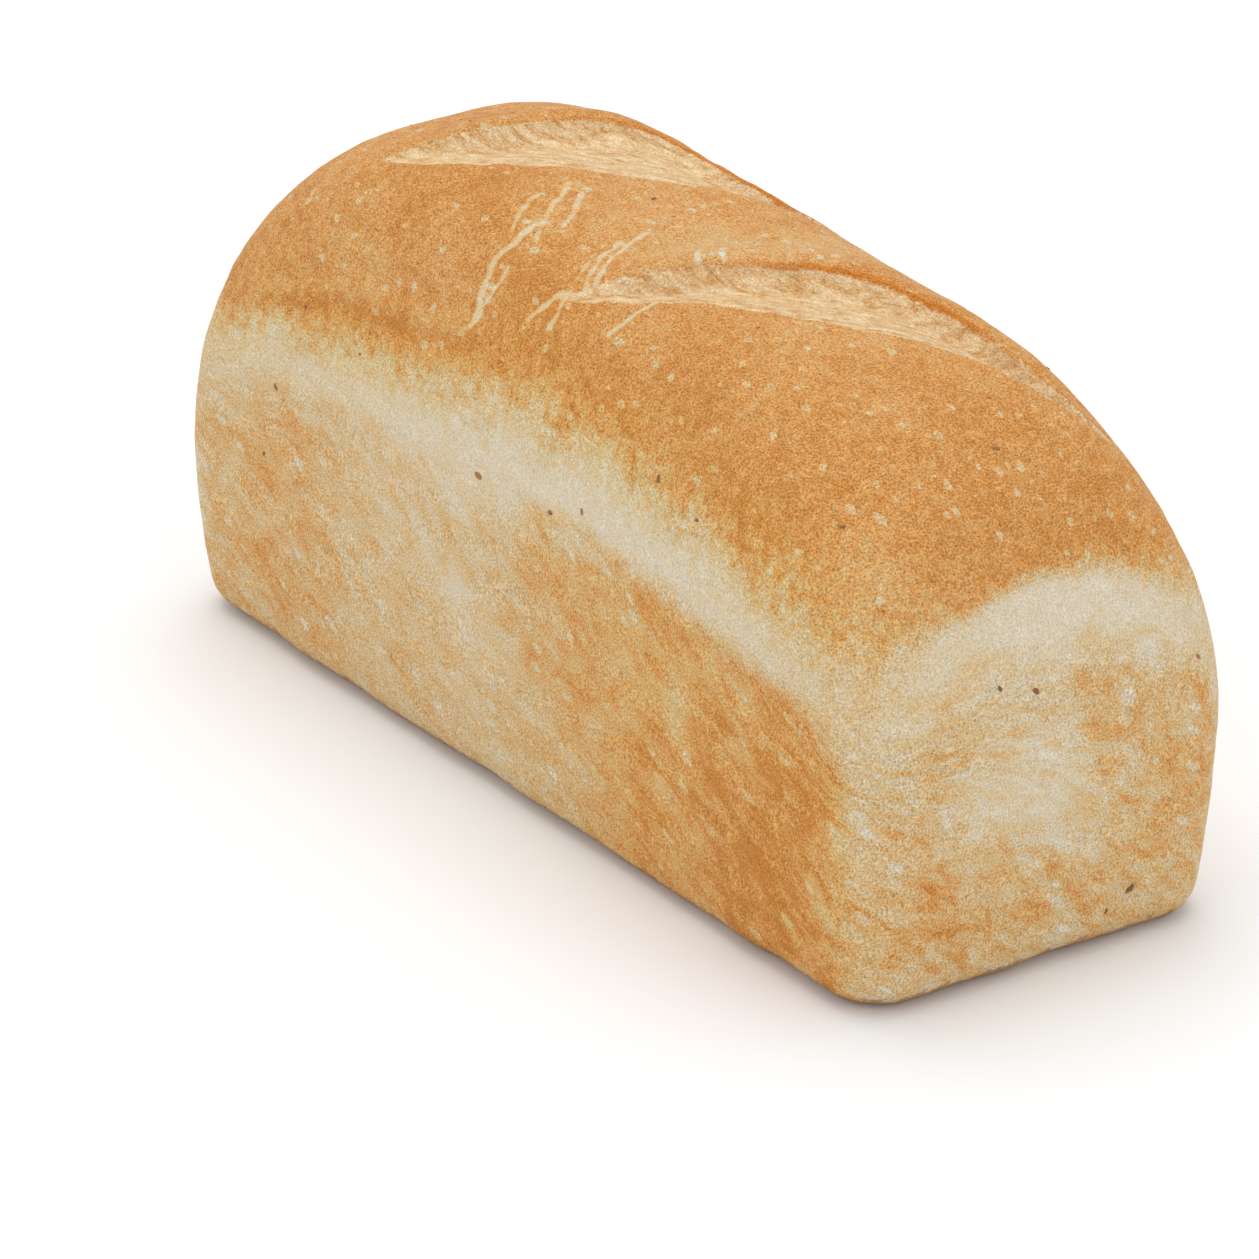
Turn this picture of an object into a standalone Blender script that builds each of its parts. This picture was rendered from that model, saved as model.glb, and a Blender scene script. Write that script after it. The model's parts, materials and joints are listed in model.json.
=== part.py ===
"""A tin loaf: one uncut white loaf with a high domed crown and two long slashes.

The loaf lies along X, its long sides face -Y and +Y, and it stands on Z = 0.
It is one closed solid. A grid is shaped into the crown, the rim of the grid is
extruded down as the four walls, and a flat base closes it.
"""

import math
from dataclasses import dataclass

import bmesh
import bpy
import numpy as np

# The plan of the loaf, in metres.
BASE_HALF_LENGTH = 0.1378
BASE_HALF_WIDTH = 0.0496
SPRING_HALF_LENGTH = 0.1403
SPRING_HALF_WIDTH = 0.0529
CORNER_RADIUS = 0.0145

# Heights: the crown's curve springs from the walls at SPRING_HEIGHT.
SPRING_HEIGHT = 0.042
CROWN_RISE = 0.0903
CROWN_TILT = -0.05
CROWN_LEAN = (0.0018, 0.0025)
BASE_ROUNDING = 0.0080
BASE_UNEVENNESS = 0.0015
BASE_WAVES = 7

# How square the crown is: towards its ends, its fuller -Y side and its +Y side.
END_POWER, END_ROOT = 4.7, 2.27
FULL_SIDE_POWER, FULL_SIDE_ROOT = 3.55, 3.2
LEAN_SIDE_POWER, LEAN_SIDE_ROOT = 3.2, 2.85

# Across a slash's opening: the share that slopes down, then the share that the lip's face takes.
HOLLOW_SHARE = 0.75
LIP_FACE_SHARE = 0.3
MIN_OPENING = 0.0001

# The share of a slash's length over which its relief fades out at each end.
FADE_SHARE = 0.22

# The grid over the crown, and the rings down the walls and round the base edge.
CELLS_ALONG = 66
CELLS_ACROSS = 34
WALL_RINGS = 7
ROUNDING_RINGS = 4


@dataclass(frozen=True)
class Slash:
    """A cut that opened in the oven: a leaf-shaped hollow with a raised far lip.

    Its two edges bow away from the straight line between its start and its end.
    A peak is how far along that line, from 0 to 1, an edge stands furthest off.
    """

    start: tuple[float, float]
    end: tuple[float, float]
    near_bow: float
    near_peak: float
    lip_bow: float
    lip_peak: float
    depth: float = 0.0040
    lip_height: float = 0.0020
    lip_width: float = 0.0085


SLASHES = (
    Slash((0.002, -0.035), (0.113, 0.039), near_bow=0.0125, near_peak=0.72, lip_bow=0.018, lip_peak=0.46),
    Slash((-0.084, -0.028), (0.019, 0.040), near_bow=0.006, near_peak=0.25, lip_bow=0.031, lip_peak=0.45),
)


def clear_scene():
    """Remove every object that a new file starts with."""
    for item in list(bpy.data.objects):
        bpy.data.objects.remove(item, do_unlink=True)


def crust_material():
    """The golden crust that covers the whole loaf."""
    material = bpy.data.materials.new("crust")
    material.use_nodes = True
    shader = material.node_tree.nodes["Principled BSDF"]
    shader.inputs["Base Color"].default_value = (0.58, 0.30, 0.10, 1.0)
    shader.inputs["Roughness"].default_value = 0.62
    shader.inputs["Metallic"].default_value = 0.0
    material.diffuse_color = (0.58, 0.30, 0.10, 1.0)
    return material


def rounded_plan(across_u, across_v, half_length, half_width, radius):
    """Carry a point of the square -1..1 to a rectangle with round corners.

    Within a corner's square the point is drawn onto a disc of the given radius.
    """
    x = across_u * half_length
    y = across_v * half_width
    out_x = np.clip(np.abs(x) - (half_length - radius), 0.0, radius) / radius
    out_y = np.clip(np.abs(y) - (half_width - radius), 0.0, radius) / radius
    disc_x = radius * out_x * np.sqrt(1.0 - out_y**2 / 2.0)
    disc_y = radius * out_y * np.sqrt(1.0 - out_x**2 / 2.0)
    x = np.sign(x) * (np.minimum(np.abs(x), half_length - radius) + disc_x)
    y = np.sign(y) * (np.minimum(np.abs(y), half_width - radius) + disc_y)
    return x, y


def smooth_step(value):
    """Rise smoothly from 0 to 1 as value goes from 0 to 1."""
    value = np.clip(value, 0.0, 1.0)
    return value * value * (3.0 - 2.0 * value)


def arch(along, peak):
    """Rise from 0 at both ends of 0..1 to 1 at the peak."""
    skew = math.log(0.5) / math.log(peak)
    return np.sin(np.pi * np.clip(along, 0.0, 1.0) ** skew)


def slash_relief(x, y, slash):
    """Height that one slash adds to the crown: a hollow that deepens to the lip, then the lip."""
    chord = np.subtract(slash.end, slash.start)
    length = math.hypot(*chord)
    ahead = chord / length
    along = ((x - slash.start[0]) * ahead[0] + (y - slash.start[1]) * ahead[1]) / length
    across = (y - slash.start[1]) * ahead[0] - (x - slash.start[0]) * ahead[1]
    near_edge = -slash.near_bow * arch(along, slash.near_peak)
    lip_edge = slash.lip_bow * arch(along, slash.lip_peak)
    opening = (across - near_edge) / np.maximum(lip_edge - near_edge, MIN_OPENING)
    hollow = smooth_step(opening / HOLLOW_SHARE)
    hollow = hollow * (1.0 - smooth_step((opening - HOLLOW_SHARE) / LIP_FACE_SHARE))
    behind = (across - lip_edge) / slash.lip_width
    lip = smooth_step(behind + 0.5) * (1.0 - smooth_step((behind - 0.5) / 1.5))
    strength = smooth_step(along / FADE_SHARE) * smooth_step((1.0 - along) / FADE_SHARE)
    return strength * (slash.lip_height * lip - slash.depth * hollow)


def crown_points(grid_u, grid_v):
    """Points of the crown for grid parameters -1..1, which crowd towards the rim.

    Its height falls to the walls as (1 - |u|^power)^(1/root), both ways at once.
    """
    across_u = np.sin(np.pi / 2.0 * grid_u)
    across_v = np.sin(np.pi / 2.0 * grid_v)
    side_power = np.where(across_v < 0.0, FULL_SIDE_POWER, LEAN_SIDE_POWER)
    side_root = np.where(across_v < 0.0, FULL_SIDE_ROOT, LEAN_SIDE_ROOT)
    ends = (1.0 - np.abs(across_u) ** END_POWER) ** (1.0 / END_ROOT)
    sides = (1.0 - np.abs(across_v) ** side_power) ** (1.0 / side_root)
    share = (1.0 + CROWN_TILT * across_u) * ends * sides
    x, y = rounded_plan(across_u, across_v, SPRING_HALF_LENGTH, SPRING_HALF_WIDTH, CORNER_RADIUS)
    x = x + CROWN_LEAN[0] * share
    y = y + CROWN_LEAN[1] * share
    z = SPRING_HEIGHT + CROWN_RISE * share
    for slash in SLASHES:
        z = z + slash_relief(x, y, slash)
    return np.stack([x, y, z], axis=-1)


def wall_points(grid_u, grid_v, height, inset):
    """Points of the walls at a height, drawn in by an inset towards the base.

    The walls lean out from the base and curve to upright where the crown begins.
    """
    share = height / SPRING_HEIGHT
    flare = share * (2.0 - share)
    half_length = BASE_HALF_LENGTH + (SPRING_HALF_LENGTH - BASE_HALF_LENGTH) * flare - inset
    half_width = BASE_HALF_WIDTH + (SPRING_HALF_WIDTH - BASE_HALF_WIDTH) * flare - inset
    across_u = np.sin(np.pi / 2.0 * grid_u)
    across_v = np.sin(np.pi / 2.0 * grid_v)
    x, y = rounded_plan(across_u, across_v, half_length, half_width, CORNER_RADIUS - inset)
    return np.stack([x, y, np.full_like(x, height)], axis=-1)


def base_rounding(grid_u, grid_v):
    """How far the edge round the base turns in, slightly uneven from place to place."""
    turn = np.arctan2(grid_v, grid_u)
    waves = np.sin(BASE_WAVES * turn) + np.sin((BASE_WAVES + 4) * turn)
    return BASE_ROUNDING + BASE_UNEVENNESS * 0.5 * waves


def place(verts, points):
    """Move bmesh vertices to the rows of an array of points."""
    for vert, point in zip(verts, points):
        vert.co = point


def grid_parameters(verts, layer_u, layer_v):
    """The grid parameters that the vertices carry, as two arrays."""
    grid_u = np.array([vert[layer_u] for vert in verts])
    grid_v = np.array([vert[layer_v] for vert in verts])
    return grid_u, grid_v


def extrude_rim(bm, rim):
    """Extrude the open rim and return the edges and vertices of the new rim."""
    made = bmesh.ops.extrude_edge_only(bm, edges=rim)["geom"]
    verts = [item for item in made if isinstance(item, bmesh.types.BMVert)]
    fresh = set(verts)
    edges = [
        item
        for item in made
        if isinstance(item, bmesh.types.BMEdge) and fresh.issuperset(item.verts)
    ]
    return edges, verts


def build_loaf():
    """Model the loaf as one closed mesh object."""
    bm = bmesh.new()
    layer_u = bm.verts.layers.float.new("grid_u")
    layer_v = bm.verts.layers.float.new("grid_v")
    bmesh.ops.create_grid(bm, x_segments=CELLS_ALONG, y_segments=CELLS_ACROSS, size=1.0)
    for vert in bm.verts:
        vert[layer_u] = vert.co.x
        vert[layer_v] = vert.co.y
    rim = [edge for edge in bm.edges if edge.is_boundary]
    crown = list(bm.verts)
    place(crown, crown_points(*grid_parameters(crown, layer_u, layer_v)))

    for ring in range(1, WALL_RINGS + 1):
        rim, verts = extrude_rim(bm, rim)
        height = SPRING_HEIGHT + (BASE_ROUNDING - SPRING_HEIGHT) * ring / WALL_RINGS
        place(verts, wall_points(*grid_parameters(verts, layer_u, layer_v), height, 0.0))
    for ring in range(1, ROUNDING_RINGS + 1):
        rim, verts = extrude_rim(bm, rim)
        grid_u, grid_v = grid_parameters(verts, layer_u, layer_v)
        angle = math.pi / 2.0 * ring / ROUNDING_RINGS
        height = BASE_ROUNDING * (1.0 - math.sin(angle))
        inset = base_rounding(grid_u, grid_v) * (1.0 - math.cos(angle))
        place(verts, wall_points(grid_u, grid_v, height, inset))
    bmesh.ops.contextual_create(bm, geom=rim)
    bmesh.ops.recalc_face_normals(bm, faces=bm.faces)

    mesh = bpy.data.meshes.new("loaf")
    bm.to_mesh(mesh)
    bm.free()
    mesh.attributes.remove(mesh.attributes["grid_u"])
    mesh.attributes.remove(mesh.attributes["grid_v"])
    centre_over_origin(mesh)
    mesh.shade_smooth()
    mesh.materials.append(crust_material())
    loaf = bpy.data.objects.new("loaf", mesh)
    bpy.context.scene.collection.objects.link(loaf)
    return loaf


def centre_over_origin(mesh):
    """Slide the mesh so that the middle of its box stands over the origin."""
    points = np.empty(len(mesh.vertices) * 3, dtype=np.float32)
    mesh.vertices.foreach_get("co", points)
    points = points.reshape(-1, 3)
    middle = (points.min(axis=0) + points.max(axis=0)) / 2.0
    points[:, :2] -= middle[:2]
    mesh.vertices.foreach_set("co", points.ravel())
    mesh.update()


def main():
    """Clear the scene and build the loaf."""
    clear_scene()
    build_loaf()


main()
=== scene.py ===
"""Looks of a tin loaf: its browned crown, torn slashes, pale oven-spring band and felted tin crust.

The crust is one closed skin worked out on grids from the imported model's box. Fields that say how far
each point lies from the edge of the browning, the slashes and the stretch marks are kept on the skin
as attributes, and the crust's finish turns them into crisp, uneven borders.
"""

import json
import logging
import math
from collections.abc import Callable
from dataclasses import dataclass, field
from enum import Enum

import bpy
import numpy as np
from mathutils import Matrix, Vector

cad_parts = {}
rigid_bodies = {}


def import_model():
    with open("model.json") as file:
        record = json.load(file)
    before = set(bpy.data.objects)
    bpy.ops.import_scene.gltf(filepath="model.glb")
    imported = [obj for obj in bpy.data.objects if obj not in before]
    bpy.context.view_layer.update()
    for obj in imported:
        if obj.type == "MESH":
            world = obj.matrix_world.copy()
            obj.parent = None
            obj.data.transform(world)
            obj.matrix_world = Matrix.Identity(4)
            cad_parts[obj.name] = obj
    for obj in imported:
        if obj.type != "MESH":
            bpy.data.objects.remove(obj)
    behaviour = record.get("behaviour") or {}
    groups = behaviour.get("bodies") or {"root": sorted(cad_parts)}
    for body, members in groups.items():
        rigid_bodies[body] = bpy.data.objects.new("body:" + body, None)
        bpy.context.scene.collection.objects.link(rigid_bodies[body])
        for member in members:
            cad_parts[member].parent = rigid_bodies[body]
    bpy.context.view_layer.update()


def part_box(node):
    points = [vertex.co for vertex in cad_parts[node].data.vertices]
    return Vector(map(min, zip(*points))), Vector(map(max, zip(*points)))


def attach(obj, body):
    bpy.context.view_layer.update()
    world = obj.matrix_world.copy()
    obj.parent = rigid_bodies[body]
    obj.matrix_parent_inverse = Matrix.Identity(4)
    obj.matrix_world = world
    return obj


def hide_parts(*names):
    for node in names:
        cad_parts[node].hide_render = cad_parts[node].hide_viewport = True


Array = np.ndarray
Socket = bpy.types.NodeSocket
Feed = Socket | float | tuple

LOG = logging.getLogger("tin_loaf")
MM = 0.001


class Fields(Enum):
    """Names of the attributes that the skin carries for its finish."""

    BAKE = "bake"
    MOTTLE = "mottle"
    GRIT = "grit"
    FELT = "felt"
    GOLD = "gold"
    WRINKLE = "wrinkle"
    TEAR = "tear"
    LIP = "lip"
    CARAMEL = "caramel"
    STRETCH = "stretch"
    GRAIN = "grain"
    FIBRE = "fibre"


# --------------------------------------------------------------------------- shapes of curves


def smooth_step(value: Array) -> Array:
    """Rise smoothly from 0 to 1 as the value goes from 0 to 1.

    Args:
        value: Any numbers.

    Returns:
        3t^2 - 2t^3 of the value held within 0..1.
    """
    value = np.clip(value, 0.0, 1.0)
    return value * value * (3.0 - 2.0 * value)


def arch(along: Array, peak: float) -> Array:
    """Rise from 0 at both ends of 0..1 to 1 at the peak, as the sine of a skewed half turn.

    Args:
        along: Places from 0 to 1.
        peak: Where the arch is highest, from 0 to 1.

    Returns:
        The height of the arch at each place.
    """
    skew = math.log(0.5) / math.log(peak)
    return np.sin(np.pi * np.clip(along, 0.0, 1.0) ** skew)


def distance_to_path(places: Array, path: Array) -> Array:
    """Distance from points to a broken line: the least over its straight pieces.

    Args:
        places: Points, shape (n, 2).
        path: Corners of the line, shape (m, 2).

    Returns:
        The distances, shape (n,).
    """
    nearest = np.full(len(places), np.inf)
    for start, end in zip(path[:-1], path[1:]):
        chord = end - start
        share = np.clip((places - start) @ chord / (chord @ chord), 0.0, 1.0)
        gap = places - start - share[:, None] * chord
        nearest = np.minimum(nearest, np.hypot(gap[:, 0], gap[:, 1]))
    return nearest


@dataclass(frozen=True)
class Unevenness:
    """Smooth random values in space: blended lattice noise, summed over finer and finer octaves."""

    seed: int

    def _lattice(self, cell: Array, corner: tuple[int, int, int]) -> Array:
        """A random value from -1 to 1 for each lattice corner, hashed from its whole-number place."""
        i, j, k = ((cell[:, axis] + corner[axis]).astype(np.uint32) for axis in range(3))
        mixed = i * np.uint32(374761393) + j * np.uint32(668265263) + k * np.uint32(2246822519)
        mixed = mixed + np.uint32(self.seed * 3266489917 % 2**32)
        mixed = (mixed ^ (mixed >> np.uint32(15))) * np.uint32(2654435761)
        mixed = (mixed ^ (mixed >> np.uint32(13))) * np.uint32(3266489917)
        mixed = mixed ^ (mixed >> np.uint32(16))
        return mixed / 2.0**31 - 1.0

    def _octave(self, places: Array) -> Array:
        """One layer: the eight corners of each point's cell, blended by a smooth step on each axis."""
        cell = np.floor(places)
        share = smooth_step(places - cell)
        cell = cell.astype(np.int64)
        total = np.zeros(len(places))
        for corner in np.ndindex(2, 2, 2):
            weight = np.ones(len(places))
            for axis in range(3):
                part = share[:, axis]
                weight = weight * (part if corner[axis] else 1.0 - part)
            total += weight * self._lattice(cell, corner)
        return total

    def at(self, places: Array, size: float, octaves: int = 3) -> Array:
        """Values of about -1 to 1 at points.

        Args:
            places: Points, shape (n, 3), in metres.
            size: Width of the broadest lumps, in metres.
            octaves: How many layers are summed, each half as broad and half as strong.

        Returns:
            The values, shape (n,).
        """
        total = np.zeros(len(places))
        strength = 1.0
        for octave in range(octaves):
            total += strength * self._octave(places * 2.0**octave / size + 17.3 * octave)
            strength *= 0.5
        return total / (2.0 - 2.0 * strength)


# --------------------------------------------------------------------------- the loaf's own form


@dataclass(frozen=True)
class Slash:
    """A cut that opened in the oven, given on the loaf's plan in shares of its half length and width.

    Its edges bow away from the straight line between its start and its end. The near edge lies to the
    right of that line and the proud lip to its left. Bows, depths and widths are in metres.
    """

    start: tuple[float, float]
    end: tuple[float, float]
    near_bow: float
    near_peak: float
    near_power: float
    lip_bow: float
    lip_peak: float
    lip_power: float
    caramel_from: float
    caramel_to: float
    seed: int
    depth: float = 0.0040
    lip_height: float = 0.0020
    lip_width: float = 0.0085
    lip_overhang: float = 0.0011
    hollow_share: float = 0.75
    lip_face_share: float = 0.30
    fade_share: float = 0.22
    least_opening: float = 0.0001
    ragged_long: float = 0.0011
    ragged_short: float = 0.0006


SLASHES = (
    Slash(
        start=(0.014, -0.66), end=(0.805, 0.735), near_bow=0.0078, near_peak=0.44, near_power=0.75,
        lip_bow=0.018, lip_peak=0.46, lip_power=2.4, caramel_from=0.10, caramel_to=0.80, seed=11,
    ),
    Slash(
        start=(-0.599, -0.53), end=(0.135, 0.755), near_bow=0.0070, near_peak=0.20, near_power=2.5,
        lip_bow=0.0315, lip_peak=0.46, lip_power=1.8, caramel_from=0.16, caramel_to=0.86, seed=12,
    ),
)


@dataclass(frozen=True)
class StretchMark:
    """A thin tear in the browned skin: a line over the crown, in shares of half length and half width.

    The second share is measured over the surface from the crest, so it can pass 1 down the sides.
    """

    path: tuple[tuple[float, float], ...]
    width: float


STRETCH_MARKS = (
    StretchMark(((-0.25, -0.22), (-0.22, -0.34), (-0.18, -0.49), (-0.145, -0.59)), 0.0008),
    StretchMark(((-0.21, -0.23), (-0.165, -0.35), (-0.135, -0.47)), 0.0007),
    StretchMark(((-0.25, -0.38), (-0.235, -0.50), (-0.205, -0.63)), 0.0006),
    StretchMark(((-0.18, -0.55), (-0.18, -0.68), (-0.19, -0.80), (-0.18, -0.94), (-0.165, -1.04)), 0.0013),
    StretchMark(((-0.155, -0.75), (-0.155, -0.86), (-0.17, -0.96)), 0.0006),
    StretchMark(((-0.02, -0.24), (-0.01, -0.34), (0.006, -0.46), (0.02, -0.54), (0.04, -0.64)), 0.0009),
    StretchMark(((-0.025, -0.38), (-0.012, -0.49), (0.006, -0.59), (0.03, -0.69)), 0.0008),
    StretchMark(((-0.016, -0.57), (-0.006, -0.66)), 0.0006),
    StretchMark(((0.12, -0.57), (0.05, -0.68), (-0.015, -0.755)), 0.0012),
    StretchMark(((-0.015, -0.755), (-0.03, -0.83), (-0.043, -0.90)), 0.0008),
    StretchMark(((0.005, -0.75), (0.011, -0.83), (0.009, -0.90)), 0.0007),
    StretchMark(((0.18, -0.51), (0.165, -0.62), (0.14, -0.79)), 0.0008),
    StretchMark(((0.12, -0.10), (0.145, -0.14), (0.16, -0.16)), 0.0006),
    StretchMark(((0.10, -0.20), (0.125, -0.245), (0.153, -0.285)), 0.0006),
)

# A shallow crease that curls over the -Y side at the -X end, given as the stretch marks are.
FOLD_LINE = ((-0.70, -1.30), (-0.63, -1.25), (-0.54, -1.20), (-0.41, -1.168), (-0.30, -1.145), (-0.16, -1.068))

# Round the loaf, places run -2..2 from the middle of the +Y side: 0 is the middle of the -Y side, 1 the
# +X end, -1 the -X end and +-0.79 and +-1.22 the upright corners. Heights are shares of the loaf's own.
BROWN_LINE = (
    (-1.79, 0.76), (-1.45, 0.72), (-1.21, 0.66), (-1.10, 0.69), (-1.0, 0.71), (-0.88, 0.67),
    (-0.80, 0.62), (-0.71, 0.66), (-0.62, 0.70), (-0.36, 0.71), (-0.23, 0.73), (-0.11, 0.77), (0.0, 0.80),
    (0.12, 0.785), (0.27, 0.79), (0.40, 0.77), (0.51, 0.76), (0.645, 0.73), (0.72, 0.70), (0.785, 0.69),
    (0.83, 0.68), (0.90, 0.69), (1.0, 0.712), (1.11, 0.705), (1.17, 0.68), (1.21, 0.66), (1.33, 0.69),
    (1.55, 0.75), (1.85, 0.775), (2.0, 0.77),
)
PALE_LINE = (
    (-1.7, 0.645), (-1.4, 0.60), (-1.21, 0.50), (-1.08, 0.64), (-0.95, 0.64), (-0.785, 0.51),
    (-0.68, 0.585), (-0.44, 0.613), (-0.29, 0.607), (-0.15, 0.62), (0.0, 0.635), (0.13, 0.64),
    (0.27, 0.636), (0.40, 0.625), (0.53, 0.615), (0.625, 0.597), (0.69, 0.575), (0.75, 0.55),
    (0.785, 0.505), (0.825, 0.555), (0.87, 0.615), (0.93, 0.65), (1.04, 0.655), (1.11, 0.63),
    (1.17, 0.56), (1.21, 0.50), (1.28, 0.56), (1.50, 0.62), (2.0, 0.645),
)
RIM_LINE = (
    (-1.7, 0.585), (-1.4, 0.54), (-1.21, 0.43), (-1.08, 0.56), (-0.95, 0.57), (-0.785, 0.42),
    (-0.71, 0.48), (-0.61, 0.525), (-0.44, 0.55), (-0.29, 0.56), (-0.14, 0.57), (0.0, 0.585),
    (0.13, 0.60), (0.27, 0.59), (0.40, 0.585), (0.54, 0.56), (0.645, 0.53), (0.715, 0.52),
    (0.755, 0.485), (0.785, 0.42), (0.83, 0.475), (0.875, 0.56), (0.935, 0.592), (1.04, 0.587),
    (1.12, 0.55), (1.18, 0.49), (1.21, 0.43), (1.28, 0.50), (1.50, 0.56), (2.0, 0.59),
)
# How baked the palest streak is round the loaf, from 0 (cream) to 1 (dark brown).
PALE_TONE = (
    (-1.5, 0.20), (-1.21, 0.36), (-1.0, 0.16), (-0.785, 0.36), (-0.62, 0.28), (-0.36, 0.22), (-0.15, 0.17),
    (0.10, 0.14), (0.45, 0.16), (0.65, 0.22), (0.785, 0.40), (0.84, 0.26), (0.92, 0.15), (1.08, 0.13),
    (1.16, 0.20), (1.21, 0.36), (1.5, 0.18), (2.0, 0.18),
)
# How baked the walls are round the loaf.
WALL_TONE = (
    (-1.7, 0.50), (-1.4, 0.58), (-1.21, 0.44), (-1.0, 0.45), (-0.83, 0.48), (-0.80, 0.44), (-0.77, 0.50),
    (-0.60, 0.46), (-0.45, 0.42), (-0.30, 0.35), (-0.12, 0.37), (0.0, 0.43), (0.14, 0.53), (0.30, 0.62),
    (0.50, 0.69), (0.65, 0.74), (0.76, 0.79), (0.80, 0.44), (0.83, 0.46), (0.87, 0.50), (0.95, 0.40),
    (1.0, 0.34), (1.06, 0.37), (1.12, 0.42), (1.18, 0.47), (1.21, 0.44), (1.35, 0.58), (1.60, 0.52),
    (1.85, 0.60), (2.0, 0.55),
)
# How slowly the pale streak gives way to the wall's tone below it, in spans from streak to rim.
FADE_SPAN = (
    (-2.0, 2.0), (-0.79, 2.0), (-0.2, 2.4), (0.2, 2.6), (0.5, 1.7), (0.68, 1.0), (0.79, 1.2), (0.86, 2.2),
    (1.2, 2.2), (2.0, 2.0),
)
CORNERS = (-1.202, -0.798, 0.798, 1.202)


@dataclass(frozen=True)
class Patch:
    """A place that baked more, or less, or that carries painted shade: a round patch that fades outwards.

    The place is in shares of the loaf's half length, half width and height. The reach is in metres.
    """

    place: tuple[float, float, float]
    reach: float
    amount: float


WALL_PATCHES = (
    Patch((0.70, -1.0, 0.30), 0.018, 0.06),
    Patch((0.50, -1.0, 0.12), 0.020, 0.05),
    # A darker patch on the -Y wall: partly deeper bake, partly painted shade.
    Patch((0.16, -1.0, 0.34), 0.014, 0.08),
    Patch((0.50, -1.0, 0.385), 0.0060, -0.34),
    Patch((0.38, -1.0, 0.46), 0.007, -0.18),
    Patch((0.62, -1.0, 0.52), 0.006, -0.18),
    Patch((0.66, -1.0, 0.37), 0.004, -0.20),
    Patch((0.30, -1.0, 0.24), 0.005, -0.14),
    Patch((0.42, -1.0, 0.555), 0.006, 0.10),
    Patch((-0.30, -1.0, 0.50), 0.018, -0.06),
    Patch((-0.55, -1.0, 0.555), 0.006, 0.16),
    Patch((-0.44, -1.0, 0.545), 0.005, 0.14),
    Patch((-0.62, -1.0, 0.50), 0.006, 0.10),
    Patch((-0.80, -1.0, 0.33), 0.020, 0.06),
    Patch((-0.40, -1.0, 0.12), 0.030, 0.10),
    Patch((1.0, -0.30, 0.42), 0.008, -0.08),
    Patch((1.0, -0.46, 0.31), 0.008, -0.14),
    Patch((1.0, 0.05, 0.37), 0.010, -0.08),
    Patch((1.0, 0.62, 0.33), 0.012, 0.14),
    Patch((1.0, 0.45, 0.18), 0.011, 0.14),
    Patch((1.0, -0.55, 0.16), 0.011, 0.16),
    Patch((1.0, -0.66, 0.46), 0.008, 0.10),
    Patch((1.0, -0.10, 0.54), 0.010, 0.12),
    Patch((1.0, 0.32, 0.52), 0.008, 0.14),
    Patch((1.0, 0.02, 0.12), 0.012, 0.12),
    Patch((-1.0, 0.30, 0.28), 0.022, 0.16),
    Patch((-1.0, -0.35, 0.45), 0.018, -0.10),
    Patch((0.35, 1.0, 0.40), 0.030, 0.10),
    Patch((-0.45, 1.0, 0.28), 0.034, 0.12),
    Patch((0.0, 1.0, 0.50), 0.020, -0.12),
)
CROWN_PATCHES = (
    Patch((0.72, -0.70, 0.83), 0.018, 0.05),
    Patch((0.93, 0.10, 0.82), 0.018, 0.06),
    Patch((0.16, -0.85, 0.86), 0.012, 0.07),
    Patch((0.30, -0.60, 0.95), 0.014, 0.04),
    Patch((-0.12, -0.80, 0.88), 0.010, 0.05),
    Patch((-0.42, -0.70, 0.90), 0.014, 0.04),
    Patch((0.55, -0.35, 0.96), 0.016, -0.04),
    Patch((0.10, -0.20, 0.99), 0.016, -0.08),
    Patch((0.20, 0.30, 0.99), 0.016, -0.10),
    Patch((-0.10, 0.0, 0.99), 0.018, -0.05),
    Patch((-0.42, -0.30, 0.98), 0.030, 0.06),
    Patch((0.95, -0.90, 0.70), 0.015, -0.24),
    Patch((-0.50, -0.92, 0.80), 0.012, -0.10),
    Patch((-0.20, -0.95, 0.80), 0.012, -0.10),
)
WRINKLE_PATCHES = (
    Patch((0.985, -0.86, 0.50), 0.006, 1.0),
    Patch((0.98, -0.90, 0.38), 0.005, 0.8),
    Patch((1.0, -0.20, 0.51), 0.009, 0.7),
    Patch((1.0, 0.30, 0.48), 0.006, 0.6),
    Patch((1.0, 0.0, 0.24), 0.006, 0.8),
    Patch((0.20, -1.0, 0.45), 0.008, 0.6),
    Patch((-0.98, 0.80, 0.50), 0.009, 1.0),
    Patch((0.96, 0.90, 0.50), 0.009, 1.0),
)


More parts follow.
